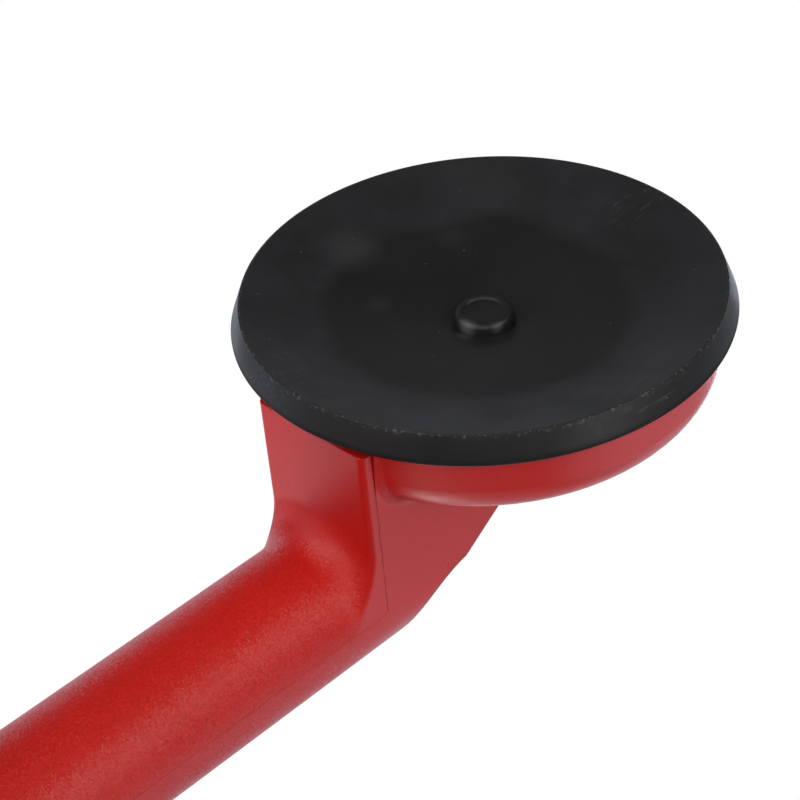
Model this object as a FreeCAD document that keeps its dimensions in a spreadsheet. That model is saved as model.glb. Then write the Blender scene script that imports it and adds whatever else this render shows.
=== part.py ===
import FreeCAD, Part
import os
import Sketcher

# Two-cup suction lifter for floor tiles, in millimetres.  The tile is the plane Z = 0, the two
# cups stand on it, and the grip runs along X between them.  Every sketch of a cup is drawn about
# that cup's own axis, with +X towards the grip.  Formulas are written in the sheet's names.

SIZES = {
    # cups, towers and grip
    "cup_spacing": 240.0,
    "tower_reach": 57.2,
    "grip_radius": 17.2,
    "grip_height": 57.6,
    "seam_drop": 1.9,
    "shell_wall": 2.9,
    "body_wall": 3.4,
    "flare_radius": 8.6,
    "corner_radius": 1.8,
    "rib_width": 2.0,
    "lip_thickness": 1.3,
    "lip_height": 2.0,
    "lip_gap": 0.25,
    # sloping back of each tower, with a dip for the thumb
    "slope_angle": 33.6,
    "slope_height": 37.5,
    "dip_start": 28.0,
    "dip_end": 47.0,
    "dip_depth": 2.4,
    # bowl
    "bowl_radius": 56.8,
    "bowl_top": 27.0,
    "bowl_draft": 7.0,
    "shoulder_radius": 11.0,
    "rim_height": 9.0,
    "boss_radius": 14.0,
    "boss_depth": 3.0,
    "bowl_rib_depth": 4.0,
    "foot_fillet": 3.0,
    # lever slot
    "slot_half_width": 11.0,
    "slot_reach": 11.0,
    "slot_back": 15.0,
    "slot_sink": 2.0,
    # rubber pad
    "pad_radius": 60.0,
    "band_height": 6.6,
    "lip_radius": 57.5,
    "lip_width": 2.0,
    "crease_radius": 37.0,
    "crease_height": 6.2,
    "crease_rounding": 12.0,
    "dish_depth": 10.3,
    "membrane": 4.2,
    "spigot_height": 3.4,
    "spigot_width": 3.6,
    "spigot_gap": 0.4,
    "hub_radius": 5.75,
    "hub_root_radius": 7.0,
    "hub_drop": 2.9,
    "hub_recess_radius": 5.3,
    "hub_recess": 1.0,
    # steel insert, stud, nut and pin
    "insert_radius": 15.0,
    "insert_thickness": 2.0,
    "insert_cover": 2.0,
    "sleeve_radius": 5.6,
    "sleeve_below": 2.5,
    "sleeve_above": 1.2,
    "sleeve_floor": 1.0,
    "rubber_gap": 0.3,
    "stud_radius": 4.0,
    "thread_gap": 0.05,
    "nut_flats": 13.0,
    "nut_height": 3.2,
    "eye_gap": 0.2,
    "eye_width": 8.6,
    "pin_radius": 2.5,
    "pin_gap": 0.05,
    "pin_end": 0.9,
    "clip_radius": 4.2,
    "clip_thickness": 0.8,
    "clip_groove": 0.5,
    # guide bush and wear plate
    "bush_radius": 6.5,
    "bush_flange_radius": 9.0,
    "bush_flange": 1.2,
    "bush_gap": 0.05,
    "plate_thickness": 1.0,
    "plate_gap": 0.4,
    # lever
    "stroke": 5.0,
    "lever_swing": 100.0,
    "cam_height": 9.8,
    "cam_gap": 0.1,
    "lever_reach": 60.0,
    "lever_width": 20.0,
    "arm_crest": 20.0,
    "arm_crest_height": 1.5,
    "sole_end": 39.6,
    "paddle_width": 34.0,
    "paddle_start": 37.2,
    "paddle_low": 43.2,
    "paddle_end": 51.0,
    "paddle_curve": 30.0,
    "tip_width": 10.0,
    "tip_curve": 12.0,
    "tip_lift": 5.3,
    "tip_thickness": 2.9,
    "fork_taper": 2.0,
    "lever_rounding": 1.0,
    "lobe_gap": 0.2,
    "lobe_width": 4.2,
    "heel_reach": 12.0,
    "hub_height": 6.0,
    "fork_depth": 8.5,
    "arm_gap": 0.8,
    "lever_wall": 2.4,
}

# Sizes that follow from the ones above.
DERIVED = {
    "half_span": "cup_spacing / 2",
    "seam_height": "grip_height - seam_drop",
    "seam_reach": "tower_reach - shell_wall",
    "bore_radius": "grip_radius - body_wall",
    "slope_rise": "tan(slope_angle)",
    "tower_back": "(bowl_top - slope_height) / slope_rise",
    "slope_wall": "body_wall / cos(slope_angle)",
    "bowl_roof": "bowl_top - body_wall",
    "bowl_inner": "bowl_radius - body_wall / cos(bowl_draft)",
    "boss_bottom": "bowl_roof - boss_depth",
    "shoulder_height": "bowl_top - shoulder_radius",
    "shoulder_centre": "bowl_radius - (shoulder_height - rim_height) * tan(bowl_draft)"
                       " - shoulder_radius / cos(bowl_draft)",
    "slot_floor": "bowl_top - slot_sink",
    "plate_top": "slot_floor + plate_thickness",
    "pin_height": "plate_top + cam_gap + cam_height",
    "cam_rate": "stroke / (lever_swing * pi / 180)",
    "insert_bottom": "dish_depth + insert_cover",
    "insert_top": "insert_bottom + insert_thickness",
    "sleeve_bottom": "insert_bottom - sleeve_below",
    "sleeve_top": "insert_top + sleeve_above",
    "stud_bottom": "sleeve_bottom + sleeve_floor",
    "thread_radius": "stud_radius + thread_gap",
    "nut_corner": "nut_flats / sqrt(3)",
    "pad_back": "insert_top + insert_cover",
    "eye_radius": "cam_height - stroke - eye_gap",
    "eye_half": "eye_width / 2",
    "lobe_inner": "eye_half + lobe_gap",
    "lobe_outer": "lobe_inner + lobe_width",
    "clip_inner": "lobe_outer + lobe_gap",
    "clip_outer": "clip_inner + clip_thickness",
    "pin_hole": "pin_radius + pin_gap",
    "arm_bottom": "bowl_top + arm_gap - pin_height",
}

doc = FreeCAD.newDocument("suction_lifter")
sheet = doc.addObject("Spreadsheet::Sheet", "Sizes")
for row, (alias, number) in enumerate(SIZES.items(), start=1):
    sheet.set(f"A{row}", alias)
    sheet.set(f"B{row}", str(number))
    sheet.setAlias(f"B{row}", alias)
for row, (alias, formula) in enumerate(DERIVED.items(), start=len(SIZES) + 1):
    sheet.set(f"A{row}", alias)
    sheet.set(f"B{row}", "=" + formula)
    sheet.setAlias(f"B{row}", alias)
doc.recompute()
NAMES = set(SIZES) | set(DERIVED)


# ---- helpers: formulas, sketches and features ----

def size(formula):
    """The value of a formula."""
    return float(sheet.evalExpression(formula))


def bound(formula):
    """The formula as an expression that other objects of the document can use."""
    written = ""
    word = ""
    for letter in formula + " ":
        if letter.isalnum() or letter == "_":
            word += letter
        else:
            written += ("Sizes." + word if word in NAMES else word) + letter
            word = ""
    return written.strip()


def new_body(name):
    return doc.addObject("PartDesign::Body", name)


def plane(body, role):
    return next(item for item in body.Origin.OriginFeatures if item.Role == role)


def new_sketch(body, name, role="XZ_Plane", right=None, up=None, out=None):
    """A sketch on an origin plane of its body, moved right, up and out along its normal."""
    sketch = body.newObject("Sketcher::SketchObject", name)
    sketch.AttachmentSupport = [(plane(body, role), "")]
    sketch.MapMode = "FlatFace"
    for axis, formula in (("x", right), ("y", up), ("z", out)):
        if formula is not None:
            sketch.setExpression(f".AttachmentOffset.Base.{axis}", bound(formula))
    return sketch


def hold(sketch, kind, formula, *where):
    """One constraint whose value follows a formula."""
    number = sketch.addConstraint(Sketcher.Constraint(kind, *where, size(formula)))
    sketch.setExpression(f"Constraints[{number}]", bound(formula))


def arc_between(first, last, radius, turn):
    """The short arc of a radius between two points; turn is 1 if it bends left, -1 if right."""
    chord = last - first
    across = FreeCAD.Vector(-chord.y, chord.x, 0).normalize()
    rise = max(radius ** 2 - (chord.Length / 2) ** 2, 0.0) ** 0.5
    centre = first + chord / 2 + across * (rise * turn)
    return Part.Arc(first, centre - across * (radius * turn), last)


def outline(sketch, corners):
    """A closed outline.  A corner is (x, y), or (x, y, radius, turn) where an arc leaves it."""
    offset = sketch.GeometryCount
    count = len(corners)
    points = [FreeCAD.Vector(size(corner[0]), size(corner[1]), 0) for corner in corners]
    ends = []
    for index, corner in enumerate(corners):
        here, there = points[index], points[(index + 1) % count]
        if len(corner) == 2:
            sketch.addGeometry(Part.LineSegment(here, there), False)
            ends.append((1, 2))
        else:
            sketch.addGeometry(arc_between(here, there, size(corner[2]), corner[3]), False)
            ends.append((1, 2) if corner[3] > 0 else (2, 1))
    for index, corner in enumerate(corners):
        following = (index + 1) % count
        sketch.addConstraint(Sketcher.Constraint(
            "Coincident", offset + index, ends[index][1], offset + following, ends[following][0]))
        hold(sketch, "DistanceX", corner[0], -1, 1, offset + index, ends[index][0])
        hold(sketch, "DistanceY", corner[1], -1, 1, offset + index, ends[index][0])
        if len(corner) > 2:
            hold(sketch, "Radius", corner[2], offset + index)
    return sketch


def rectangle(sketch, left, bottom, right, top):
    return outline(sketch, [(left, bottom), (right, bottom), (right, top), (left, top)])


def circle(sketch, x, y, radius):
    middle = FreeCAD.Vector(size(x), size(y), 0)
    number = sketch.addGeometry(Part.Circle(middle, FreeCAD.Vector(0, 0, 1), size(radius)), False)
    hold(sketch, "DistanceX", x, -1, 1, number, 3)
    hold(sketch, "DistanceY", y, -1, 1, number, 3)
    hold(sketch, "Radius", radius, number)
    return sketch


def feature(body, kind, name, sketch):
    item = body.newObject("PartDesign::" + kind, name)
    item.Profile = sketch
    return item


def must_cut(body, name, before):
    if body.Tip.Shape.Volume > before - 0.001:
        raise RuntimeError(f"{body.Label}: {name} cuts nothing")


def pad(body, name, sketch, length, both_ways=False, reverse=False):
    item = feature(body, "Pad", name, sketch)
    item.SideType = "Symmetric" if both_ways else "One side"
    item.Reversed = reverse
    item.setExpression("Length", bound(length))
    doc.recompute()
    return item


def pocket(body, name, sketch, length="4 * cup_spacing", both_ways=True, reverse=False):
    before = body.Tip.Shape.Volume
    item = feature(body, "Pocket", name, sketch)
    item.SideType = "Symmetric" if both_ways else "One side"
    item.Reversed = reverse
    item.setExpression("Length", bound(length))
    doc.recompute()
    must_cut(body, name, before)
    return item


def revolve(body, name, sketch, axis="V_Axis"):
    item = feature(body, "Revolution", name, sketch)
    item.ReferenceAxis = (sketch, [axis])
    item.Angle = 360
    doc.recompute()
    return item


def groove(body, name, sketch, axis="V_Axis"):
    before = body.Tip.Shape.Volume
    item = feature(body, "Groove", name, sketch)
    item.ReferenceAxis = (sketch, [axis])
    item.Angle = 360
    doc.recompute()
    must_cut(body, name, before)
    return item


def mirror(body, name, role="YZ_Plane"):
    """The whole body so far joined to its mirror image."""
    item = body.newObject("PartDesign::Mirrored", name)
    item.TransformMode = "Whole shape"
    item.MirrorPlane = (plane(body, role), [""])
    body.Tip = item
    doc.recompute()
    return item


def fillet(body, name, radius, test):
    """Round each edge of the body on which every sampled point passes the test."""
    base = body.Tip
    names = []
    for number, edge in enumerate(base.Shape.Edges, start=1):
        first, last = edge.ParameterRange
        points = [edge.valueAt(first + (last - first) * step / 4) for step in range(5)]
        if all(test(point) for point in points):
            names.append(f"Edge{number}")
    if not names:
        raise RuntimeError(f"{body.Label}: {name} finds no edge")
    item = body.newObject("PartDesign::Fillet", name)
    item.Base = (base, names)
    item.setExpression("Radius", bound(radius))
    doc.recompute()
    return item


def near(value, target, slack=0.01):
    return abs(value - target) < slack


def stand_on_cup(item, side):
    """Carry a piece drawn about a cup's axis to the left or the right cup."""
    sign = "-" if side == "left" else ""
    turn = 0 if side == "left" else 180
    item.Placement = FreeCAD.Placement(
        FreeCAD.Vector(size(sign + "half_span"), 0, 0), FreeCAD.Rotation(FreeCAD.Vector(0, 0, 1), turn))
    item.setExpression(".Placement.Base.x", bound(sign + "half_span"))
    doc.recompute()
    return item


# ---- the red mouldings ----

def slope_over(reach):
    return f"slope_height + ({reach}) * slope_rise"


def shoulder(shrink, bottom):
    """The bowl's wall and shoulder, set in by shrink, as outline corners from the rim upwards."""
    inner = f"({shrink}) / cos(bowl_draft)"
    round_radius = f"shoulder_radius - ({shrink})"
    return [
        (f"bowl_radius - {inner} + (rim_height - ({bottom})) * tan(bowl_draft)", bottom),
        (f"shoulder_centre + ({round_radius}) * cos(bowl_draft)",
         f"shoulder_height + ({round_radius}) * sin(bowl_draft)", round_radius, 1),
        ("shoulder_centre", f"bowl_top - ({shrink})"),
    ]


def cup_sketch(body, name, role="XZ_Plane", **moves):
    """A sketch of one of the joined mouldings, drawn about the left cup's axis."""
    return new_sketch(body, name, role, right="-half_span", **moves)


def tower_hollow(body, name):
    """The space inside a tower, behind the lever slot and under the slope."""
    return outline(cup_sketch(body, name), [
        ("slot_reach + body_wall", "bowl_top"),
        ("seam_reach", "bowl_top"),
        ("seam_reach", "seam_height - body_wall"),
        ("dip_start", "seam_height - body_wall - slope_wall"),
        ("slot_reach + body_wall", slope_over("slot_reach + body_wall") + " - slope_wall"),
    ])


def make_housing():
    """Two slotted towers over two hollow bowls, and the upper half of the grip."""
    body = new_body("housing")
    revolve(body, "bowl", outline(
        cup_sketch(body, "bowl_side"),
        [("0", "rim_height")] + shoulder("0", "rim_height") + [("0", "bowl_top")]))
    pad(body, "tower", rectangle(
        cup_sketch(body, "tower_side"), "tower_back", "rim_height", "tower_reach", "grip_height"),
        "2 * grip_radius", both_ways=True)
    side, back = size("grip_radius"), size("tower_back - half_span")
    fillet(body, "tower_foot", "foot_fillet", lambda at: (
        (near(abs(at.y), side) or near(at.x, back)) and near(at.z, bowl_height_at(at))))
    pad(body, "grip", circle(
        new_sketch(body, "grip_end", "YZ_Plane", out="-half_span"), "0", "grip_height", "grip_radius"),
        "half_span")

    # The back slopes down to the bowl, with an arc let into it.
    chord = "((dip_end - dip_start) / cos(slope_angle))"
    pocket(body, "slope", outline(cup_sketch(body, "slope_side"), [
        ("-bowl_radius", "bowl_top"),
        ("tower_back", "bowl_top"),
        ("dip_start", slope_over("dip_start"), f"{chord} ^ 2 / 8 / dip_depth + dip_depth / 2", 1),
        ("dip_end", slope_over("dip_end")),
        ("tower_reach + grip_radius", slope_over("tower_reach + grip_radius")),
        ("-bowl_radius", slope_over("tower_reach + grip_radius")),
    ]))
    # Below the seam, everything on the finger side belongs to the other shell.
    pocket(body, "seam", rectangle(
        cup_sketch(body, "seam_side"), "seam_reach", "0", "2 * half_span", "seam_height"))

    pocket(body, "lever_slot", outline(cup_sketch(body, "slot_side"), [
        ("-bowl_radius", "bowl_top"),
        ("-slot_back", "bowl_top"),
        ("-slot_back", "slot_floor"),
        ("slot_reach", "slot_floor"),
        ("slot_reach", slope_over("tower_reach")),
        ("-bowl_radius", slope_over("tower_reach")),
    ]), "2 * slot_half_width")
    groove(body, "bowl_hollow", outline(
        cup_sketch(body, "bowl_hollow_side"),
        [("0", "rim_height - body_wall")] + shoulder("body_wall", "rim_height - body_wall")
        + [("boss_radius", "bowl_roof"), ("boss_radius", "boss_bottom"), ("0", "boss_bottom")]))
    pocket(body, "bush_hole", circle(
        cup_sketch(body, "bush_hole_round", "XY_Plane"), "0", "0", "bush_radius"))
    pocket(body, "tower_hollow", tower_hollow(body, "tower_hollow_side"), "2 * bore_radius")
    pad(body, "tower_rib", tower_hollow(body, "tower_rib_side"), "rib_width", both_ways=True)
    pocket(body, "grip_hollow", circle(
        new_sketch(body, "grip_hollow_end", "YZ_Plane"), "0", "grip_height", "bore_radius"),
        "half_span - tower_reach", both_ways=False)
    bowl_ribs(body)
    mirror(body, "both_ends")
    return body


def bowl_height_at(at):
    """Height of the bowl's outside under a point of the left half."""
    reach = ((at.x + size("half_span")) ** 2 + at.y ** 2) ** 0.5
    centre, turn_radius = size("shoulder_centre"), size("shoulder_radius")
    if reach <= centre:
        return size("bowl_top")
    drop = turn_radius ** 2 - (reach - centre) ** 2
    if drop > 0 and reach < centre + turn_radius * size("cos(bowl_draft)"):
        return size("shoulder_height") + drop ** 0.5
    return size("rim_height") + (size("bowl_radius") - reach) / size("tan(bowl_draft)")


def bowl_ribs(body):
    """Radial ribs that stiffen the bowl's roof from below."""
    bury = "shoulder_radius - body_wall * 0.75"
    foot = "bowl_roof - bowl_rib_depth"
    sketch = outline(cup_sketch(body, "bowl_rib_side"), [
        ("boss_radius - 1", foot),
        (f"shoulder_centre + sqrt(({bury}) ^ 2 - ({foot} - shoulder_height) ^ 2)", foot, bury, 1),
        ("shoulder_centre", f"shoulder_height + {bury}"),
        ("boss_radius - 1", f"shoulder_height + {bury}"),
    ])
    rib = pad(body, "bowl_rib", sketch, "rib_width", both_ways=True)
    pattern = body.newObject("PartDesign::PolarPattern", "bowl_ribs")
    pattern.Originals = [rib]
    pattern.Axis = (sketch, ["V_Axis"])
    pattern.Angle = 360
    pattern.Occurrences = 12
    body.Tip = pattern
    doc.recompute()


def make_grip_shell():
    """The finger side: the lower half of the grip, flared into a face on each tower."""
    body = new_body("grip_shell")
    pad(body, "grip", circle(
        new_sketch(body, "grip_end", "YZ_Plane", out="seam_reach - half_span"),
        "0", "grip_height", "grip_radius"), "half_span - seam_reach")
    pad(body, "tower_face", rectangle(
        cup_sketch(body, "tower_face_side"), "seam_reach", "rim_height", "tower_reach", "grip_height"),
        "2 * grip_radius", both_ways=True)
    revolve(body, "flare", outline(cup_sketch(body, "flare_side", up="grip_height"), [
        ("seam_reach", "0"),
        ("seam_reach", "-grip_radius - flare_radius"),
        ("tower_reach", "-grip_radius - flare_radius", "flare_radius", -1),
        ("tower_reach + flare_radius", "-grip_radius"),
        ("tower_reach + flare_radius", "0"),
    ]), "H_Axis")
    pocket(body, "seam", rectangle(
        cup_sketch(body, "seam_side"), "0", "seam_height", "2 * half_span",
        "grip_height + 2 * grip_radius + 2 * flare_radius"))
    sides = cup_sketch(body, "sides_plan", "XY_Plane")
    rectangle(sides, "0", "grip_radius", "2 * half_span", "3 * grip_radius")
    rectangle(sides, "0", "-3 * grip_radius", "2 * half_span", "-grip_radius")
    pocket(body, "sides", sides)
    side, face = size("grip_radius"), size("tower_reach - half_span")
    reach = size("flare_radius")
    fillet(body, "corners", "corner_radius", lambda at: (
        near(abs(at.y), side) and face - 0.01 < at.x < face + reach and at.z < size("seam_height") + 0.01
        and not near(at.z, size("rim_height"))))
    pocket(body, "grip_hollow", circle(
        new_sketch(body, "grip_hollow_end", "YZ_Plane"), "0", "grip_height", "bore_radius"),
        "half_span - tower_reach", both_ways=False)
    # Lips that locate the two mouldings: one along each edge of the grip, one in each tower.
    lips = new_sketch(body, "lip_end", "YZ_Plane", up="seam_height")
    outer = "sqrt(bore_radius ^ 2 - (seam_drop + lip_gap) ^ 2) - lip_gap"
    rectangle(lips, f"{outer} - lip_thickness", "-lip_height", outer, "lip_height")
    rectangle(lips, f"-({outer})", "-lip_height", f"lip_thickness - ({outer})", "lip_height")
    pad(body, "grip_lips", lips, "half_span - tower_reach", reverse=True)
    mirror(body, "both_ends")
    return body


# ---- pieces of one cup ----

def make_suction_pad(side):
    body = new_body("suction_pad_" + side)
    spigot = "bowl_inner - spigot_gap"
    revolve(body, "rubber", outline(new_sketch(body, "rubber_side"), [
        ("0", "dish_depth - hub_drop + hub_recess"),
        ("hub_recess_radius", "dish_depth - hub_drop + hub_recess"),
        ("hub_recess_radius", "dish_depth - hub_drop"),
        ("hub_radius", "dish_depth - hub_drop"),
        ("hub_root_radius", "dish_depth"),
        ("crease_radius", "crease_height"),
        ("lip_radius - lip_width", "0"),
        ("lip_radius", "0"),
        ("pad_radius", "band_height"),
        ("bowl_radius + rubber_gap", "rim_height"),
        (spigot, "rim_height"),
        (f"{spigot} - spigot_height * tan(bowl_draft)", "rim_height + spigot_height"),
        (f"{spigot} - spigot_width", "rim_height + spigot_height"),
        (f"{spigot} - spigot_width", "crease_height + membrane / 2"),
        ("crease_radius", "crease_height + membrane"),
        ("insert_radius + insert_cover", "dish_depth + membrane * 0.7"),
        ("insert_radius + insert_cover", "pad_back"),
        ("0", "pad_back"),
    ]))
    crease, height = size("crease_radius"), size("crease_height")
    fillet(body, "crease", "crease_rounding", lambda at: (
        near((at.x ** 2 + at.y ** 2) ** 0.5, crease) and near(at.z, height)))
    groove(body, "insert_seat", outline(new_sketch(body, "insert_seat_side"), [
        ("0", "sleeve_bottom"),
        ("sleeve_radius + rubber_gap", "sleeve_bottom"),
        ("sleeve_radius + rubber_gap", "insert_bottom"),
        ("insert_radius + rubber_gap", "insert_bottom"),
        ("insert_radius + rubber_gap", "insert_top"),
        ("nut_corner + 3 * rubber_gap", "insert_top"),
        ("nut_corner + 3 * rubber_gap", "pad_back + 1"),
        ("0", "pad_back + 1"),
    ]))
    return stand_on_cup(body, side)


def make_anchor_plate(side):
    """Steel disc moulded into the rubber, with a threaded sleeve through it."""
    body = new_body("anchor_plate_" + side)
    revolve(body, "disc", outline(new_sketch(body, "disc_side"), [
        ("0", "sleeve_bottom"),
        ("sleeve_radius", "sleeve_bottom"),
        ("sleeve_radius", "insert_bottom"),
        ("insert_radius", "insert_bottom"),
        ("insert_radius", "insert_top"),
        ("sleeve_radius", "insert_top"),
        ("sleeve_radius", "sleeve_top"),
        ("thread_radius", "sleeve_top"),
        ("thread_radius", "stud_bottom"),
        ("0", "stud_bottom"),
    ]))
    return stand_on_cup(body, side)


def make_lock_nut(side):
    body = new_body("lock_nut_" + side)
    hexagon = new_sketch(body, "hexagon", "XY_Plane", out="sleeve_top")
    outline(hexagon, [
        (f"nut_corner * cos({60 * corner})", f"nut_corner * sin({60 * corner})") for corner in range(6)])
    circle(hexagon, "0", "0", "thread_radius")
    pad(body, "nut", hexagon, "nut_height")
    corner = "(nut_corner - nut_flats / 2)"
    groove(body, "chamfers", outline(new_sketch(body, "chamfer_side", up="sleeve_top + nut_height"), [
        ("nut_flats / 2", "0"),
        (f"nut_flats / 2 + 2 * {corner}", "0"),
        (f"nut_flats / 2 + 2 * {corner}", f"-2 * {corner} * tan(30)"),
    ]))
    return stand_on_cup(body, side)


def make_stud(side):
    """Round stud, threaded below, with a flat-sided eye for the pivot pin."""
    body = new_body("stud_" + side)
    revolve(body, "shank", rectangle(
        new_sketch(body, "shank_side"), "0", "stud_bottom", "stud_radius", "pin_height"))
    pad(body, "eye", circle(new_sketch(body, "eye_round"), "0", "pin_height", "eye_radius"),
        "eye_width", both_ways=True)
    pocket(body, "eye_hole", circle(new_sketch(body, "hole_round"), "0", "pin_height", "pin_hole"))
    return stand_on_cup(body, side)


def make_pivot_pin(side):
    body = new_body("pivot_pin_" + side)
    neck = "pin_radius - clip_groove"
    end = "clip_outer + pin_end"
    revolve(body, "pin", outline(new_sketch(body, "pin_side", "YZ_Plane", up="pin_height"), [
        (f"-({end})", "0"),
        (f"-({end})", "pin_radius"),
        ("-clip_outer", "pin_radius"),
        ("-clip_outer", neck),
        ("-clip_inner", neck),
        ("-clip_inner", "pin_radius"),
        ("clip_inner", "pin_radius"),
        ("clip_inner", neck),
        ("clip_outer", neck),
        ("clip_outer", "pin_radius"),
        (end, "pin_radius"),
        (end, "0"),
    ]), "H_Axis")
    return stand_on_cup(body, side)


def make_retaining_clips(side):
    """Two open spring clips, one in each groove of the pin."""
    body = new_body("retaining_clips_" + side)
    mouth = "(pin_radius - clip_groove) * 0.8"
    ring = new_sketch(body, "ring", up="pin_height", out="clip_inner")
    outer, inner = "clip_radius", "pin_radius - clip_groove"
    outline(ring, [
        (mouth, f"-sqrt(({outer}) ^ 2 - ({mouth}) ^ 2)", outer, 1),
        (outer, "0", outer, 1),
        ("0", outer, outer, 1),
        (f"-({outer})", "0", outer, 1),
        (f"-({mouth})", f"-sqrt(({outer}) ^ 2 - ({mouth}) ^ 2)"),
        (f"-({mouth})", f"-sqrt(({inner}) ^ 2 - ({mouth}) ^ 2)", inner, -1),
        (f"-({inner})", "0", inner, -1),
        ("0", inner, inner, -1),
        (inner, "0", inner, -1),
        (mouth, f"-sqrt(({inner}) ^ 2 - ({mouth}) ^ 2)"),
    ])
    pad(body, "clip", ring, "clip_thickness")
    mirror(body, "both_clips", "XZ_Plane")
    return stand_on_cup(body, side)


def make_guide_bush(side):
    body = new_body("guide_bush_" + side)
    inner = "stud_radius + bush_gap"
    revolve(body, "bush", outline(new_sketch(body, "bush_side"), [
        (inner, "boss_bottom - bush_flange"),
        ("bush_flange_radius", "boss_bottom - bush_flange"),
        ("bush_flange_radius", "boss_bottom"),
        ("bush_radius", "boss_bottom"),
        ("bush_radius", "slot_floor"),
        (inner, "slot_floor"),
    ]))
    return stand_on_cup(body, side)


def make_wear_plate(side):
    """Steel plate on the floor of the lever slot, under the cams."""
    body = new_body("wear_plate_" + side)
    half = "slot_half_width - plate_gap"
    plan = rectangle(
        new_sketch(body, "plan", "XY_Plane", out="slot_floor"),
        "plate_gap - slot_back", f"-({half})", "slot_reach - plate_gap", half)
    circle(plan, "0", "0", "stud_radius + plate_gap")
    pad(body, "plate", plan, "plate_thickness")
    return stand_on_cup(body, side)


def cam_point(angle):
    """Where the cam touches the plate once the lever has opened by angle, about the pin."""
    height = f"(cam_height - stroke * {angle} / lever_swing)"
    return (f"{height} * sin({angle}) - cam_rate * cos({angle})",
            f"-{height} * cos({angle}) - cam_rate * sin({angle})")


def on_lever_rim(at):
    """Whether a point lies on the outline of the top of the lever's arm and paddle."""
    sole = size("pin_height + arm_bottom")
    if near(at.x, -size("lever_reach")):
        return near(at.z, sole + size("tip_lift + tip_thickness"))
    along = at.x < 0.01 - size("heel_reach")
    return along and abs(at.y) > size("tip_width / 2") - 0.01 and at.z > sole + size("lever_wall")


def make_lever(side):
    """Forked lever whose two cams lift the stud; the cams are involutes, so that the stud sinks
    evenly as the lever opens."""
    body = new_body("lever_" + side)
    steps = 4
    cam = []
    for step in range(steps):
        angle = f"(lever_swing * {step} / {steps})"
        middle = f"(cam_height - stroke * {step + 0.5} / {steps})"
        cam.append(cam_point(angle) + (middle, 1))
    last = cam_point("lever_swing")
    stop = "(cam_height / 2)"
    cam.append(last)
    cam.append((f"{last[0]} + {stop} * cos(lever_swing)", f"{last[1]} + {stop} * sin(lever_swing)"))
    tip_bottom = "arm_bottom + tip_lift"
    pad(body, "lever", outline(new_sketch(body, "lever_side", up="pin_height"), cam + [
        ("-pin_radius", "hub_height"),
        ("-arm_crest", "arm_crest_height"),
        ("-paddle_low", tip_bottom, "paddle_curve", -1),
        ("-lever_reach", f"{tip_bottom} + tip_thickness"),
        ("-lever_reach", tip_bottom, "paddle_curve", 1),
        ("-sole_end", "arm_bottom"),
        ("-heel_reach", "arm_bottom"),
        ("-heel_reach", "-cam_height"),
    ]), "paddle_width", both_ways=True)

    # Seen from above: a narrow fork in the slot, then an arm that widens to a thumb paddle.
    plan = new_sketch(body, "lever_plan", "XY_Plane")
    half, wide, tip = "lever_width / 2", "paddle_width / 2", "tip_width / 2"
    edge = [
        ("cam_height", "lobe_outer"),
        ("fork_taper - heel_reach", "lobe_outer"),
        ("-heel_reach", half),
        ("-arm_crest", half),
        ("-paddle_start", wide),
        ("-paddle_end", wide, "tip_curve", 1),
        ("-lever_reach", tip),
    ]
    other_edge = [(x, f"-({y})") for x, y, *_ in reversed(edge)]
    other_edge[0] += ("tip_curve", 1)
    outline(plan, edge + other_edge)
    rectangle(plan, "-lever_reach - paddle_width", "-paddle_width", "paddle_width", "paddle_width")
    pocket(body, "plan_cut", plan)
    fillet(body, "rounded_top", "lever_rounding", on_lever_rim)
    pocket(body, "fork", rectangle(
        new_sketch(body, "fork_side", up="pin_height"),
        "-fork_depth", "-2 * cam_height", "2 * cam_height", "2 * cam_height"), "2 * lobe_inner")
    pocket(body, "pin_holes", circle(
        new_sketch(body, "pin_round", up="pin_height"), "0", "0", "pin_hole"))
    pocket(body, "arm_hollow", outline(new_sketch(body, "arm_hollow_side", up="pin_height"), [
        ("-heel_reach - lever_wall", "arm_bottom - 1"),
        ("-heel_reach - lever_wall", "-lever_wall"),
        ("-arm_crest", "-lever_wall"),
        ("-paddle_start", "arm_bottom + lever_wall"),
        ("-paddle_start", "arm_bottom - 1"),
    ]), "lever_width - 2 * lever_wall")
    pocket(body, "paddle_hollow", rectangle(
        new_sketch(body, "paddle_hollow_side", up="pin_height"),
        "-paddle_end", "arm_bottom - 1", "-paddle_start - rib_width", f"{tip_bottom} - lever_wall"),
        "paddle_width - 2 * lever_wall")
    return stand_on_cup(body, side)


# ---- build, check and write ----

pieces = [make_housing(), make_grip_shell()]
for cup_side in ("left", "right"):
    pieces += [
        make_suction_pad(cup_side), make_anchor_plate(cup_side), make_lock_nut(cup_side),
        make_stud(cup_side), make_pivot_pin(cup_side), make_retaining_clips(cup_side),
        make_guide_bush(cup_side), make_wear_plate(cup_side), make_lever(cup_side),
    ]
doc.recompute()

for item in doc.Objects:
    if "Invalid" in item.State or "Error" in item.State:
        raise RuntimeError(f"{item.Label} failed: {item.State}")
for piece in pieces:
    if piece.Shape.isNull() or not piece.Shape.isValid():
        raise RuntimeError(f"{piece.Label} has no valid shape")

os.makedirs("parts", exist_ok=True)
for piece in pieces:
    piece.Shape.exportStep(f"parts/{piece.Label}.step")
    box = piece.Shape.BoundBox
    print(f"{piece.Label}: {len(piece.Shape.Solids)} solids, {piece.Shape.Volume:.0f} mm3, "
          f"X {box.XMin:.1f} {box.XMax:.1f}, Y {box.YMin:.1f} {box.YMax:.1f}, "
          f"Z {box.ZMin:.1f} {box.ZMax:.1f}")
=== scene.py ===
import math

import bmesh
import bpy
from mathutils import Matrix, Vector


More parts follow.
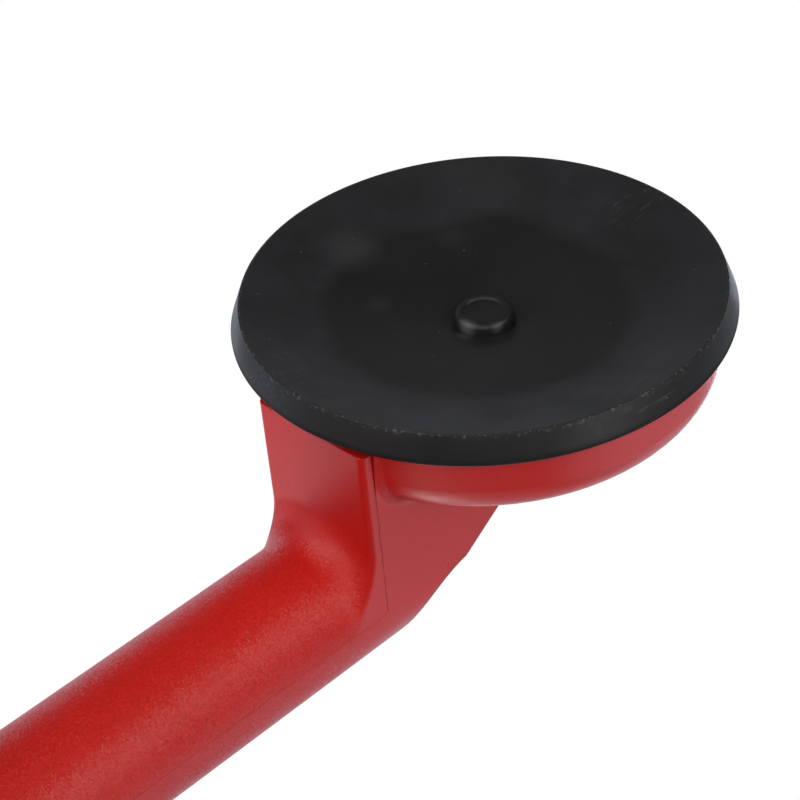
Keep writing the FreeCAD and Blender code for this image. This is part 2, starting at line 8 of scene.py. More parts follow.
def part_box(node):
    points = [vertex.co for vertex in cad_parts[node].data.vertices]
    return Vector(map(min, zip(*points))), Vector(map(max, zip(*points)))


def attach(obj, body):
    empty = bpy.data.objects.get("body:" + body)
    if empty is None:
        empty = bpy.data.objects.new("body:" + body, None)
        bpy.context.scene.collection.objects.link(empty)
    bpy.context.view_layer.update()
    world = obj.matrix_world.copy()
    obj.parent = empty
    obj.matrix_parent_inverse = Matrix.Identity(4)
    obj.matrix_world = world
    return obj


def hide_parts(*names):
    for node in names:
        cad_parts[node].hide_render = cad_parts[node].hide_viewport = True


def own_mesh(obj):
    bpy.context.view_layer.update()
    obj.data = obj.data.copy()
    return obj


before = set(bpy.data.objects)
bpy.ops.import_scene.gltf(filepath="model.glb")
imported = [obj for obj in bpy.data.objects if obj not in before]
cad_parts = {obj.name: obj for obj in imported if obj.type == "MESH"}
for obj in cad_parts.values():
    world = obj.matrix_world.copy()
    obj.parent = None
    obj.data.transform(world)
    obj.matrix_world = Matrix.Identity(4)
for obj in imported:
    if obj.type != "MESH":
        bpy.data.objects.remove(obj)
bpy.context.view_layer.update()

# Two-cup suction lifter: cups down on the tile Z = 0, grip along X.  Lengths are in metres.

MM = 0.001
SIDES = ("left", "right")


def cup_axis(side):
    """The point of a cup's axis on the tile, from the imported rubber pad."""
    low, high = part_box("suction_pad_" + side)
    return Vector(((low.x + high.x) / 2, (low.y + high.y) / 2, 0.0))


# ---- colours and marks ----

# The red moulding: its two tones, its fine pits, its shut line, its sheen and its rounded edges.
RED_DEEP = (0.62, 0.0115, 0.0075, 1)
RED_BRIGHT = (0.68, 0.0150, 0.0095, 1)
RED_PITS = (0.42, 0.006, 0.004, 1)
RED_SHUT_LINE = (0.10, 0.004, 0.004, 1)
RED_ROUGHNESS = (0.34, 0.40)
RED_EDGE_SOFTNESS = 0.0005

# The shut line between the two mouldings: how far out it is, its top, its half width, how dark it is.
SEAM_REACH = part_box("grip_shell")[1].x
SEAM_HEIGHT = 0.0557
SEAM_WIDTH = 0.00020
SEAM_DEPTH = 0.55

# The grip's cast grain: cells per metre, how far they tilt on the grip and on the towers, and
# where along X the first tilt turns into the second.
GRAIN_SCALE = 3500.0
GRAIN_TILT = 0.36
TOWER_TILT = 0.03
GRAIN_END = (0.0575, 0.0635)

# The rubber: its two tones, a painted sheen on its outer ring, its signs of wear, how blue its rub marks
# and the painted glints on the left hub are, and its sheen on the face and on the outer corner.
RUBBER_DARK = (0.0100, 0.0100, 0.0106, 1)
RUBBER_PALE = (0.0140, 0.0140, 0.0150, 1)
RUBBER_PAINTED_SHEEN = (0.029, 0.0288, 0.034, 1)
# The next colour is a painted sheen: paler and bluish, on the outer ring of each face.
RUBBER_STREAK = (0.045, 0.045, 0.05, 1)
RUBBER_SCUFF = (0.095, 0.095, 0.108, 1)
RUBBER_DUST = (0.10, 0.10, 0.10, 1)
RUBBER_LIP_LINE = (0.055, 0.055, 0.060, 1)
BLUISH = 1.1
RUBBER_ROUGHNESS = (0.34, 0.48)
RUBBER_SHINE = 0.44
CORNER_ROUGHNESS = 0.8
CORNER_SHINE = 0.12

# Distances from a cup's axis: where the painted sheen on the outer ring begins and is full and how far
# its edge wanders, the lip's edge, the thin paler line along it, and where the outer corner begins and is
# full.
PAINTED_SHEEN_START = 0.0345
PAINTED_SHEEN_FULL = 0.0390
PAINTED_SHEEN_WANDER = 0.0025
LIP_EDGE = 0.0573
LIP_LINE = 0.0571
CORNER_START = 0.0594
CORNER_FULL = 0.0599

# How far crumbs lie from the lip's edge, and the worn line's half width and strength.
CRUMB_REACH = 0.0006
LIP_LINE_WIDTH = 0.00025
LIP_LINE_STRENGTH = 0.45

# Dust: its cells per metre and a speck's reach within its cell.  The noises above these values
# decide which specks are there, and which crumbs.
DUST_CELLS = 260.0
DUST_SPECK = 0.06
DUST_KEPT = 0.62
CRUMBS_KEPT = 0.60

# Pale rub marks on the rubber, and two painted glints on the left hub's wall: place, reach, and the
# reflectance of the worn skin or of the glint.
RUB_MARKS_AND_HUB_GLINTS = (
    ((-0.1160, 0.0410, 0.0050), 0.0105, 0.036),
    ((-0.1370, 0.0270, 0.0070), 0.0060, 0.022),
    ((-0.1060, 0.0210, 0.0080), 0.0050, 0.021),
    ((-0.1562, 0.0365, 0.0017), 0.0180, 0.026),
    # The next two are painted glints on the left hub's wall, not rub marks.
    ((-0.1128, -0.0008, 0.0084), 0.0036, 0.110),
    ((-0.1176, -0.0070, 0.0084), 0.0024, 0.085),
    ((0.1010, -0.0340, 0.0060), 0.0070, 0.030),
    ((0.1460, 0.0220, 0.0070), 0.0060, 0.026),
)
RUB_AND_GLINT_STRENGTH = 0.85

# Scuffed stretches of the lip: place and reach.
SCUFFS = (
    ((-0.1165, -0.0545, 0.0010), 0.0170),
    ((-0.0665, 0.0100, 0.0010), 0.0140),
    ((-0.1700, -0.0040, 0.0020), 0.0120),
    ((0.1500, 0.0470, 0.0010), 0.0150),
)

# Lever plastic: its two tones, its sheen and its rounded edges.
PLASTIC_DARK = (0.013, 0.013, 0.014, 1)
PLASTIC_PALE = (0.02, 0.02, 0.021, 1)
PLASTIC_ROUGHNESS = (0.38, 0.52)
PLASTIC_EDGE_SOFTNESS = 0.0003

# How much of a metal's colour is left where it is tarnished, and how far its fine lines are smoother
# and rougher than its plain roughness.
TARNISH = 0.8
SMOOTHER = 0.06
ROUGHER = 0.08

# Most of a noise lies between these two values.
NOISE_BAND = (0.3, 0.7)


# ---- node trees ----

class Nodes:
    """A short way to write a node tree."""

    def __init__(self, tree):
        self.tree = tree

    def fill(self, socket, source):
        """Link a socket to its source, or write the source there where it is a plain value."""
        if isinstance(source, bpy.types.NodeSocket):
            self.tree.links.new(source, socket)
        else:
            socket.default_value = source

    def add(self, kind, sockets=None, **settings):
        """A new node with its settings and the sources of its sockets."""
        node = self.tree.nodes.new("ShaderNode" + kind)
        for key, setting in settings.items():
            setattr(node, key, setting)
        for key, source in (sockets or {}).items():
            self.fill(node.inputs[key], source)
        return node

    def spread(self, source, low, high, to_low, to_high, way="LINEAR"):
        """The source's stretch from low to high, laid over another stretch."""
        return self.add("MapRange", {
            "Value": source, "From Min": low, "From Max": high,
            "To Min": to_low, "To Max": to_high}, interpolation_type=way).outputs["Result"]

    def maths(self, operation, one, two=0.0):
        """A sum, product or other operation on one or two sources."""
        return self.add("Math", {0: one, 1: two}, operation=operation).outputs[0]

    def mix(self, share, one, two):
        """One colour, turning into the other by the share."""
        return self.add("Mix", {0: share, 6: one, 7: two}, data_type="RGBA").outputs[2]


class Finish(Nodes):
    """The node tree of a material with one shader."""

    def __init__(self, name, **shader):
        self.material = bpy.data.materials.new(name)
        self.material.use_nodes = True
        super().__init__(self.material.node_tree)
        self.shader = self.tree.nodes["Principled BSDF"]
        for key, number in shader.items():
            self.shader.inputs[key.replace("_", " ")].default_value = number
        self.place = self.add("TexCoord").outputs["Object"]

    def feed(self, key, source):
        """Link a source to the shader's socket."""
        self.tree.links.new(source, self.shader.inputs[key])

    def noise(self, scale, detail=2.0, roughness=0.5, place=None):
        """A cloudy noise, its scale in waves per metre."""
        return self.add("TexNoise", {
            "Vector": place or self.place, "Scale": scale, "Detail": detail,
            "Roughness": roughness}).outputs["Fac"]

    def stretched(self, scale, turn=0.0):
        """The place, turned about Z and scaled along X, Y and Z, for noises drawn out into lines."""
        return self.add("Mapping", {
            "Vector": self.place, "Rotation": (0, 0, turn), "Scale": scale}).outputs["Vector"]

    def bump(self, height, strength, distance, under=None):
        """Normals tilted by a height, on top of those under it."""
        sockets = {"Height": height, "Strength": strength, "Distance": distance}
        if under:
            sockets["Normal"] = under
        return self.add("Bump", sockets).outputs["Normal"]

    def soft_edges(self, radius):
        """Normals rounded over the moulding's edges."""
        return self.add("Bevel", {"Radius": radius}, samples=6).outputs["Normal"]

    def vectors(self, operation, one, two):
        """The results of an operation on two vectors."""
        return self.add("VectorMath", {0: one, 1: two}, operation=operation).outputs

    def tilted_facets(self, scale, tilt, under):
        """Normals turned a little, a different way in each small cell of a cast grain."""
        cells = self.add("TexVoronoi", {"Vector": self.place, "Scale": scale}).outputs["Color"]
        middle = self.vectors("SUBTRACT", cells, (0.5, 0.5, 0.5))[0]
        turned = self.add("VectorMath", {0: middle, "Scale": tilt}, operation="SCALE").outputs[0]
        summed = self.vectors("ADD", under, turned)[0]
        return self.add("VectorMath", {0: summed}, operation="NORMALIZE").outputs[0]

    def blot(self, place, reach, most):
        """A soft round blot, falling from its most to 0 at its reach from the place."""
        away = self.vectors("DISTANCE", self.place, place)["Value"]
        return self.spread(away, 0.0, reach, most, 0.0, "SMOOTHSTEP")

    def near(self, source, centre, reach):
        """1 where the source is at the centre, falling to 0 at its reach from it."""
        away = self.maths("ABSOLUTE", self.maths("SUBTRACT", source, centre))
        return self.spread(away, 0.0, reach, 1.0, 0.0)

    def parts(self):
        """The place along X, along Y and along Z."""
        return self.add("SeparateXYZ", {0: self.place}).outputs

    def from_cup_axis(self):
        """Distance from the nearer cup's axis."""
        x, y, _ = self.parts()
        along = self.maths("SUBTRACT", self.maths("ABSOLUTE", x), abs(cup_axis("left").x))
        squares = self.maths("ADD", self.maths("MULTIPLY", along, along), self.maths("MULTIPLY", y, y))
        return self.maths("SQRT", squares)


# ---- red moulding ----

def seam_mask(m):
    """The shut line between the two mouldings, on the towers' sides."""
    x, _, z = m.parts()
    line = m.near(m.maths("ABSOLUTE", x), SEAM_REACH, SEAM_WIDTH)
    below = m.maths("LESS_THAN", z, SEAM_HEIGHT)
    return m.maths("MULTIPLY", m.maths("MULTIPLY", line, below), SEAM_DEPTH)


def moulded_red():
    """Red moulding with a soft sheen and a dark shut line, and a cast grain on the grip."""
    m = Finish("red_moulding", IOR=1.5, Specular_IOR_Level=0.40)
    tone = m.spread(m.noise(scale=14.0, detail=3.0), *NOISE_BAND, 0.0, 1.0)
    pits = m.noise(scale=1500.0, roughness=0.6)
    pitted = m.spread(pits, 0.35, 0.75, 0.0, 0.35)
    red = m.mix(pitted, m.mix(tone, RED_DEEP, RED_BRIGHT), RED_PITS)
    m.feed("Base Color", m.mix(seam_mask(m), red, RED_SHUT_LINE))

    x, _, _ = m.parts()
    tilt = m.spread(m.maths("ABSOLUTE", x), *GRAIN_END, GRAIN_TILT, TOWER_TILT)
    facets = m.tilted_facets(GRAIN_SCALE, tilt, m.soft_edges(RED_EDGE_SOFTNESS))
    m.feed("Normal", m.bump(pits, strength=0.6, distance=0.00006, under=facets))
    m.feed("Roughness", m.spread(m.noise(scale=40.0, detail=4.0), *NOISE_BAND, *RED_ROUGHNESS))
    return m.material


# ---- black rubber ----

def with_painted_sheen(m, base, radius):
    """The base with a pale, patchy painted sheen on the outer ring, whose inner edge wanders."""
    wander = m.spread(m.noise(scale=60.0, detail=3.0), *NOISE_BAND, -PAINTED_SHEEN_WANDER, PAINTED_SHEEN_WANDER)
    outer = m.spread(m.maths("ADD", radius, wander), PAINTED_SHEEN_START, PAINTED_SHEEN_FULL, 0.0, 1.0)
    ring = m.maths("MULTIPLY", outer, m.maths("LESS_THAN", radius, LIP_EDGE))
    patches = m.spread(m.noise(scale=48.0, detail=5.0, roughness=0.6), 0.30, 0.72, 0.15, 0.95)
    return m.mix(m.maths("MULTIPLY", ring, patches), base, RUBBER_PAINTED_SHEEN)


def with_wear_and_hub_glints(m, base, streaks):
    """The base with worn streaks, pale rub marks, painted glints on the left hub's wall and scuffed
    stretches of the lip.
    """
    rubbed = m.spread(m.noise(scale=38.0), 0.48, 0.66, 0.0, 1.0)
    base = m.mix(m.maths("MULTIPLY", streaks, rubbed), base, RUBBER_STREAK)
    # Rub marks, and two painted glints on the left hub's wall.
    for place, reach, grey in RUB_MARKS_AND_HUB_GLINTS:
        base = m.mix(m.blot(place, reach, RUB_AND_GLINT_STRENGTH), base, (grey, grey, BLUISH * grey, 1))

    fibres = m.stretched((0.10, 1.0, 1.0), turn=-0.5)
    threads = m.noise(scale=900.0, detail=3.0, roughness=0.6, place=fibres)
    scratch = m.spread(threads, 0.55, 0.72, 0.0, 0.6)
    for place, reach in SCUFFS:
        share = m.maths("MULTIPLY", scratch, m.blot(place, reach, 1.0))
        base = m.mix(share, base, RUBBER_SCUFF)
    return base


def with_dust(m, base, radius):
    """The base with specks of dust, crumbs on the lip and a thin paler line along it."""
    dots = m.add("TexVoronoi", {"Vector": m.place, "Scale": DUST_CELLS}, feature="F1").outputs["Distance"]
    kept = m.maths("GREATER_THAN", m.noise(scale=170.0, detail=0.0), DUST_KEPT)
    dust = m.maths("MULTIPLY", m.maths("LESS_THAN", dots, DUST_SPECK), kept)
    grains = m.maths("GREATER_THAN", m.noise(scale=1100.0), CRUMBS_KEPT)
    crumbs = m.maths("MULTIPLY", grains, m.near(radius, LIP_EDGE, CRUMB_REACH))
    base = m.mix(m.maths("MAXIMUM", dust, crumbs), base, RUBBER_DUST)
    line = m.maths("MULTIPLY", m.near(radius, LIP_LINE, LIP_LINE_WIDTH), LIP_LINE_STRENGTH)
    return m.mix(line, base, RUBBER_LIP_LINE)


def moulded_rubber():
    """Near-black satin rubber: a bluish painted sheen on the outer ring, wear, painted glints on the left
    hub, dust and a dull outer corner.
    """
    m = Finish("black_rubber", IOR=1.45)
    radius = m.from_cup_axis()
    cloud = m.noise(scale=26.0, detail=4.0, roughness=0.55)
    drawn = m.noise(scale=210.0, detail=4.0, roughness=0.65, place=m.stretched((1.0, 0.16, 1.0), turn=0.5))
    streaks = m.spread(drawn, 0.60, 0.80, 0.0, 0.5)
    base = m.mix(m.spread(cloud, 0.35, 0.65, 0.0, 1.0), RUBBER_DARK, RUBBER_PALE)
    # A painted sheen on the outer ring.
    base = with_painted_sheen(m, base, radius)
    # Streaks, rub marks, painted glints on the left hub, and scuffs.
    base = with_wear_and_hub_glints(m, base, streaks)
    m.feed("Base Color", with_dust(m, base, radius))

    satin = m.spread(m.noise(scale=70.0, detail=5.0, roughness=0.6), *NOISE_BAND, *RUBBER_ROUGHNESS)
    corner = m.spread(radius, CORNER_START, CORNER_FULL, 0.0, 1.0)
    m.feed("Roughness", m.maths("MAXIMUM", satin, m.maths("MULTIPLY", corner, CORNER_ROUGHNESS)))
    m.feed("Specular IOR Level", m.spread(corner, 0.0, 1.0, RUBBER_SHINE, CORNER_SHINE))

    waves = m.bump(cloud, strength=0.25, distance=0.0005)
    fine = m.noise(scale=1300.0, roughness=0.6)
    skin = m.maths("ADD", fine, m.maths("MULTIPLY", streaks, 0.8))
    m.feed("Normal", m.bump(skin, strength=0.35, distance=0.00005, under=waves))
    return m.material


# ---- lever plastic and metals ----

def moulded_black():
    """Black lever plastic with a fine grain."""
    m = Finish("black_plastic", IOR=1.5)
    m.feed("Base Color", m.mix(m.noise(scale=30.0, detail=3.0), PLASTIC_DARK, PLASTIC_PALE))
    m.feed("Roughness", m.spread(m.noise(scale=50.0, detail=4.0), *NOISE_BAND, *PLASTIC_ROUGHNESS))
    edges = m.soft_edges(PLASTIC_EDGE_SOFTNESS)
    grain = m.noise(scale=1900.0, roughness=0.6)
    m.feed("Normal", m.bump(grain, strength=0.6, distance=0.00008, under=edges))
    return m.material


def metal(name, colour, roughness, stretch):
    """Metal with a little tarnish, and with fine lines where its stretch draws them out."""
    m = Finish(name, Metallic=1.0)
    lines = m.noise(scale=600.0, detail=3.0, roughness=0.6, place=m.stretched(stretch))
    dull = m.spread(m.noise(scale=80.0, detail=4.0), 0.35, 0.7, 0.0, 1.0)
    dark = tuple(TARNISH * part for part in colour)
    m.feed("Base Color", m.mix(dull, (*colour, 1), (*dark, 1)))
    m.feed("Roughness", m.spread(lines, *NOISE_BAND, roughness - SMOOTHER, roughness + ROUGHER))
    m.feed("Normal", m.bump(lines, strength=0.25, distance=0.00003))
    return m.material


# Scales that draw a metal's fine lines round Z where it is turned and along X where it is rolled.
# A plated one has no lines.
TURNED = (0.15, 0.15, 1.0)
ROLLED = (0.1, 1.0, 1.0)
PLATED = (1.0, 1.0, 1.0)

RED = moulded_red()
RUBBER = moulded_rubber()
BLACK = moulded_black()
STEEL = metal("bright_steel", (0.56, 0.56, 0.57), 0.28, TURNED)
ZINC = metal("zinc_steel", (0.50, 0.52, 0.55), 0.36, PLATED)
SPRING = metal("spring_steel", (0.40, 0.40, 0.42), 0.34, ROLLED)
BRASS = metal("bush_brass", (0.62, 0.42, 0.16), 0.30, TURNED)

FINISHES = {
    "housing": RED, "grip_shell": RED, "suction_pad": RUBBER, "anchor_plate": ZINC, "lock_nut": ZINC,
    "stud": STEEL, "pivot_pin": STEEL, "retaining_clips": SPRING, "guide_bush": BRASS,
    "wear_plate": SPRING, "lever": BLACK,
}
for name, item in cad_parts.items():
    kind = name.removesuffix("_left").removesuffix("_right")
    item.data.materials.clear()
    item.data.materials.append(FINISHES[kind])


# ---- rubber pads ----

# Steps of a rounding, corners round an axis, the reach in millimetres that counts as on the axis, and
# the least angle of an edge that stays sharp.
ARC_STEPS = 7
TURNS = 224
ON_AXIS = 1e-6
SHARP_ANGLE = math.radians(40)


def rounded(corners):
    """A path through corners (radius, height, rounding), each turned into an arc of its rounding."""
    points = [Vector((radius, height)) for radius, height, _ in corners]
    path = []
    for index, here in enumerate(points):
        rounding = corners[index][2]
        if rounding == 0.0:
            path.append(here)
            continue
        before = (points[index - 1] - here).normalized()
        after = (points[index + 1] - here).normalized()
        half = before.angle(after) / 2
        reach = rounding / math.tan(half)
        centre = here + (before + after).normalized() * (rounding / math.sin(half))
        first = here + before * reach - centre
        last = here + after * reach - centre
        turn = first.angle_signed(last)
        for step in range(ARC_STEPS + 1):
            angle = -turn * step / ARC_STEPS
            path.append(centre + Matrix.Rotation(angle, 2) @ first)
    return path


def ring_of_corners(mesh, axis, radius, height):
    """Corners all the way round the axis, or a single one on it."""
    if radius < ON_AXIS:
        return [mesh.verts.new(axis + Vector((0, 0, height * MM)))]
    ring = []
    for turn in range(TURNS):
        angle = 2 * math.pi * turn / TURNS
        x = radius * MM * math.cos(angle)
        y = radius * MM * math.sin(angle)
        ring.append(mesh.verts.new(axis + Vector((x, y, height * MM))))
    return ring


def lathe(name, side, path, closed=True):
    """The path, in millimetres, turned about a cup's axis as one smooth mesh."""
    mesh = bmesh.new()
    axis = cup_axis(side)
    rings = [ring_of_corners(mesh, axis, *point) for point in path]
    pairs = list(zip(rings, rings[1:]))
    if closed:
        pairs.append((rings[-1], rings[0]))
    for one, two in pairs:
        for turn in range(TURNS):
            after = (turn + 1) % TURNS
            corners = [one[turn % len(one)], one[after % len(one)],
                       two[after % len(two)], two[turn % len(two)]]
            corners = list(dict.fromkeys(corners))
            if len(corners) > 2:
                mesh.faces.new(corners)
    bmesh.ops.recalc_face_normals(mesh, faces=mesh.faces)
    data = bpy.data.meshes.new(name)
    mesh.to_mesh(data)
    mesh.free()
    data.shade_smooth()
    data.set_sharp_from_angle(angle=SHARP_ANGLE)
    item = bpy.data.objects.new(name, data)
    bpy.context.scene.collection.objects.link(item)
    data.materials.append(RUBBER)
    return item


# Profile of the face, in millimetres from the cup's axis: a shallow cone to a soft crease, then a
# steeper cone out to the sealing lip, and a small moat round the hub.
HUB_ROOT = 7.0
DISH = 10.3
CREASE = 37.0
CREASE_HEIGHT = 6.2
CREASE_SOFTNESS = 0.35
LIP = 56.9
MOAT = 0.35
MOAT_REACH = 1.3


def face_height(radius):
    """The face's height over the tile."""
    inner = DISH - (radius - HUB_ROOT) * (DISH - CREASE_HEIGHT) / (CREASE - HUB_ROOT)
    outer = CREASE_HEIGHT * (LIP - radius) / (LIP - CREASE)
    middle, half = (inner + outer) / 2, (inner - outer) / 2
    moat = MOAT * math.exp((HUB_ROOT - radius) / MOAT_REACH)
    return middle - math.sqrt(half ** 2 + CREASE_SOFTNESS ** 2) + moat


def face(first, last, steps):
    """The face's profile between two radii."""
    radii = [first + (last - first) * step / steps for step in range(steps + 1)]
    return [Vector((radius, face_height(radius))) for radius in radii]


# The pad is three pieces.  The rim keeps still outside the split, the thin membrane between it and the
# hub keeps still with it, and the hub goes up and down with the stud.  The membrane starts just inside the
# hub.
SPLIT = 31.0
MEMBRANE_START = HUB_ROOT - 0.15
FACE_END = 50.0
RIM_STEPS = 24
MEMBRANE_STEPS = 40

# The rim in millimetres: the lip's outside, the outer corner, the edge of the back, and the step up
# to the inner back.
LIP_OUTSIDE = 57.45
LIP_HEIGHT = 0.02
RIM = 59.95
RIM_HEIGHT = 6.5
BACK_EDGE = 57.2
BACK_HEIGHT = 8.98
STEP_FOOT = 49.0
STEP_HEAD = 47.5
STEP_HEIGHT = 11.0

# The hub in millimetres: a hollow in its face, the face's inner and outer edge, its side and back.
HOLLOW = 4.9
HOLLOW_HEIGHT = 8.0
HUB_FACE = 5.2
HUB_FACE_HEIGHT = 7.4
HUB_EDGE = 6.95
HUB_EDGE_HEIGHT = 7.5
HUB_SIDE = 7.05
HUB_BACK = 7.1
HUB_BACK_HEIGHT = 14.0

# Corners in millimetres: radius, height and rounding.  The rim's run from the face over the lip, the
# outer corner and the back to the split, and the hub's run from its face to its back.
RIM_CORNERS = (
    (FACE_END, face_height(FACE_END), 0.0),
    (LIP, LIP_HEIGHT, 0.3),
    (LIP_OUTSIDE, LIP_HEIGHT, 0.22),
    (RIM, RIM_HEIGHT, 0.8),
    (BACK_EDGE, BACK_HEIGHT, 0.7),
    (STEP_FOOT, BACK_HEIGHT, 0.0),
    (STEP_HEAD, STEP_HEIGHT, 0.0),
    (SPLIT, STEP_HEIGHT, 0.0),
)
HUB_CORNERS = (
    (0.0, HOLLOW_HEIGHT, 0.0),
    (HOLLOW, HOLLOW_HEIGHT, 0.3),
    (HUB_FACE, HUB_FACE_HEIGHT, 0.2),
    (HUB_EDGE, HUB_EDGE_HEIGHT, 1.45),
    (HUB_SIDE, STEP_HEIGHT, 0.0),
    (HUB_BACK, HUB_BACK_HEIGHT, 0.0),
    (0.0, HUB_BACK_HEIGHT, 0.0),
)

# The membrane's back, radius and height, from the split to the hub.
MEMBRANE_BACK = (
    Vector((SPLIT, 10.9)),
    Vector((24.0, 13.0)),
    Vector((MEMBRANE_START, HUB_BACK_HEIGHT)),
)


def rubber_pad(side):
    """A pad's rim, membrane and hub, in place of its node in the solids."""
    node = "suction_pad_" + side
    ring = lathe("pad_rim_" + side, side, face(SPLIT, FACE_END, RIM_STEPS) + rounded(RIM_CORNERS)[1:])
    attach(ring, "root")
    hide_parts(node)
    profile = face(MEMBRANE_START, SPLIT, MEMBRANE_STEPS) + list(MEMBRANE_BACK)
    skin = lathe("pad_membrane_" + side, side, profile)
    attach(skin, "root")
    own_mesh(skin)
    hub = lathe("pad_hub_" + side, side, rounded(HUB_CORNERS), closed=False)
    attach(hub, "stud_" + side)


for cup in SIDES:
    rubber_pad(cup)


# ---- floor and world ----

# The floor lies just under the tile plane.  It is whole up to the first reach from its middle and
# gone at the second.
FLOOR_SIZE = 6.0
FLOOR_DROP = 0.0002
FLOOR_NEAR = 0.30
FLOOR_FAR = 1.10
FLOOR_GREY = (0.80, 0.80, 0.79, 1)
FLOOR_PALE = (0.83, 0.83, 0.82, 1)


def pale_floor():
    """A pale floor that shows from above, is clear from below, and melts into the white far out."""
    bpy.ops.mesh.primitive_plane_add(size=FLOOR_SIZE, location=(0, 0, -FLOOR_DROP))
    floor = bpy.context.object
    floor.name = "floor"
    m = Finish("floor_paint", Roughness=0.8)
    m.feed("Base Color", m.mix(m.noise(scale=3.0), FLOOR_GREY, FLOOR_PALE))
    clear = m.add("BsdfTransparent")
    behind = m.add("NewGeometry").outputs["Backfacing"]
    away = m.add("VectorMath", {0: m.place}, operation="LENGTH").outputs["Value"]
    melted = m.spread(away, FLOOR_NEAR, FLOOR_FAR, 0.0, 1.0, "SMOOTHSTEP")
    unseen = m.maths("MAXIMUM", behind, melted)
    both = m.add("MixShader", {0: unseen, 1: m.shader.outputs[0], 2: clear.outputs[0]})
    m.fill(m.tree.nodes["Material Output"].inputs["Surface"], both.outputs[0])
    floor.data.materials.append(m.material)
    floor.visible_diffuse = False
    floor.visible_glossy = False
    floor.visible_transmission = False
    floor.visible_shadow = False


# How much of the white background shows in what mirrors it.
MIRRORED_SHARE = 0.12


def white_world():
    """White behind the lifter and through it, and dim in what mirrors it.  It gives no other light."""
    world = bpy.data.worlds.new("studio")
    bpy.context.scene.world = world
    world.use_nodes = True
    m = Nodes(world.node_tree)
    m.tree.nodes.clear()
    ray = m.add("LightPath").outputs
    mirrored = m.maths("MULTIPLY", ray["Is Glossy Ray"], MIRRORED_SHARE)
    seen = m.maths("MAXIMUM", ray["Is Camera Ray"], ray["Is Transmission Ray"])
    level = m.maths("MAXIMUM", seen, mirrored)
    back = m.add("Background", {"Color": (1, 1, 1, 1), "Strength": level})
    m.add("OutputWorld", {0: back.outputs[0]})


# ---- camera and lamps ----

# The lifter is seen from below and to one side, with its left cup's rubber turned to the camera.
CAMERA_FROM_CUP = Vector((0.2997, -0.3041, -0.2904))
CAMERA_RIGHT = Vector((-0.7048, -0.7053, 0.0770))
CAMERA_UP = Vector((-0.4710, 0.3840, -0.7942))
LENS = 99.0
SENSOR = 36.0


def camera():
    """The camera, and its right, up and back directions."""
    data = bpy.data.cameras.new("camera")
    data.lens = LENS
    data.sensor_width = SENSOR
    item = bpy.data.objects.new("camera", data)
    right = CAMERA_RIGHT.normalized()
    up = (CAMERA_UP - right * CAMERA_UP.dot(right)).normalized()
    back = right.cross(up)
    turn = Matrix((right, up, back)).transposed().to_4x4()
    item.matrix_world = Matrix.Translation(cup_axis("left") + CAMERA_FROM_CUP) @ turn
    bpy.context.scene.collection.objects.link(item)
    bpy.context.scene.camera = item
    return right, up, back


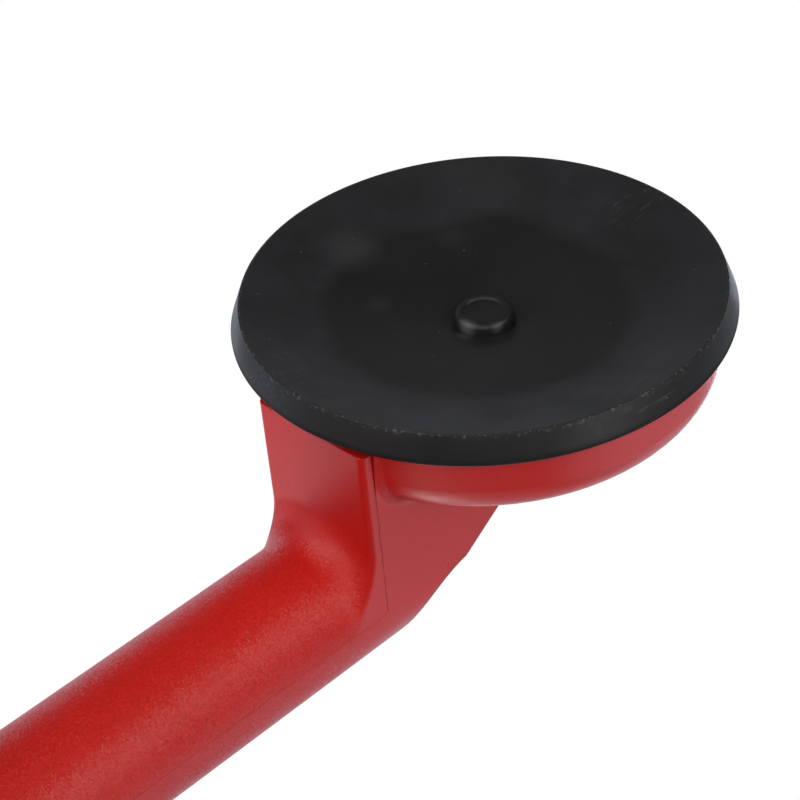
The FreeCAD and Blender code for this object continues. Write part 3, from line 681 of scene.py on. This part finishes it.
# Soft lamps round the left cup: a direction in the camera's right, up and back, a width, a power
# and a tint.  The lamps in front are warm and carry the colour, and the others draw the edges.
WARM = (1.0, 0.97, 0.94)
COOL = (0.80, 0.86, 1.0)
LAMPS = {
    "front": ((0.0, 0.0, 1.0), 0.5, 1.80, WARM),
    "front_right": ((1.0, 0.0, 1.0), 0.5, 1.90, WARM),
    "front_left": ((-1.0, 0.0, 1.0), 0.5, 1.60, WARM),
    "front_high": ((0.0, 1.0, 1.0), 0.4, 0.35, WARM),
    "front_low_left": ((-1.0, -1.0, 0.7), 0.4, 0.15, WARM),
    "front_low_right": ((1.0, -0.8, 0.8), 0.5, 0.70, WARM),
    "key": ((-1.0, 1.0, 1.0), 0.5, 1.95, WARM),
    "sheen": ((0.74, 0.42, 0.50), 0.15, 1.10, WARM),
    "high_left": ((-2.0, 1.0, 0.5), 0.4, 0.60, COOL),
    "left": ((-1.0, 0.0, 0.0), 0.5, 0.50, COOL),
    "right": ((1.0, 0.0, 0.0), 0.4, 0.15, COOL),
    "low": ((0.0, -1.0, -0.4), 0.7, 0.95, COOL),
    "low_right": ((1.0, -1.0, 0.0), 0.5, 1.20, COOL),
    "rim_right": ((1.0, -0.5, -0.5), 0.5, 0.35, COOL),
    "rim_far_right": ((1.0, 0.1, -0.6), 0.4, 0.20, COOL),
    "rim_left": ((-1.0, 0.0, -1.0), 0.5, 0.10, COOL),
    "rim_low_left": ((-1.0, -1.0, -1.0), 0.5, 0.40, COOL),
    "rim_far_left": ((-1.0, -0.2, -0.6), 0.4, 0.35, COOL),
    "rim_low_right": ((1.0, -1.0, -1.0), 0.5, 0.35, COOL),
    "rim_high": ((0.0, 1.0, -1.0), 0.5, 0.15, COOL),
    "rim_high_left": ((-1.0, 1.0, -1.0), 0.5, 0.30, COOL),
    "rim_high_right": ((1.0, 1.0, -1.0), 0.5, 0.10, COOL),
    "backdrop": ((0.0, 0.0, -1.0), 1.6, 6.60, COOL),
}
LAMP_DISTANCE = 0.9
LAMPS_AIM = cup_axis("left") + Vector((0.02, 0, 0.02))

# Three more over the whole lifter, for views from above: a place, a width, a power and a tint.
LAMPS_ABOVE = {
    "above": ((0.25, 0.35, 1.0), 0.6, 5.0, WARM),
    "above_left": ((-0.9, 0.5, 0.6), 0.5, 2.5, COOL),
    "above_right": ((0.9, 0.3, 0.7), 0.5, 2.5, COOL),
}
ABOVE_AIM = Vector((0, 0, 0.03))


def softbox(name, place, target, width, power, tint):
    """A square area lamp at the place, turned to the target, that the camera can't see."""
    light = bpy.data.lights.new(name, "AREA")
    light.size = width
    light.energy = power
    light.color = tint
    item = bpy.data.objects.new(name, light)
    item.location = place
    item.rotation_euler = (Vector(target) - Vector(place)).to_track_quat("-Z", "Y").to_euler()
    item.visible_camera = False
    bpy.context.scene.collection.objects.link(item)


def lights(right, up, back):
    """The lamps round the left cup, and the three above."""
    for name, (way, width, power, tint) in LAMPS.items():
        way = Vector(way).normalized()
        place = LAMPS_AIM + (right * way.x + up * way.y + back * way.z) * LAMP_DISTANCE
        softbox(name, place, LAMPS_AIM, width, power, tint)
    for name, (place, width, power, tint) in LAMPS_ABOVE.items():
        softbox(name, place, ABOVE_AIM, width, power, tint)


pale_floor()
white_world()
lights(*camera())
bpy.context.scene.view_settings.view_transform = "Standard"
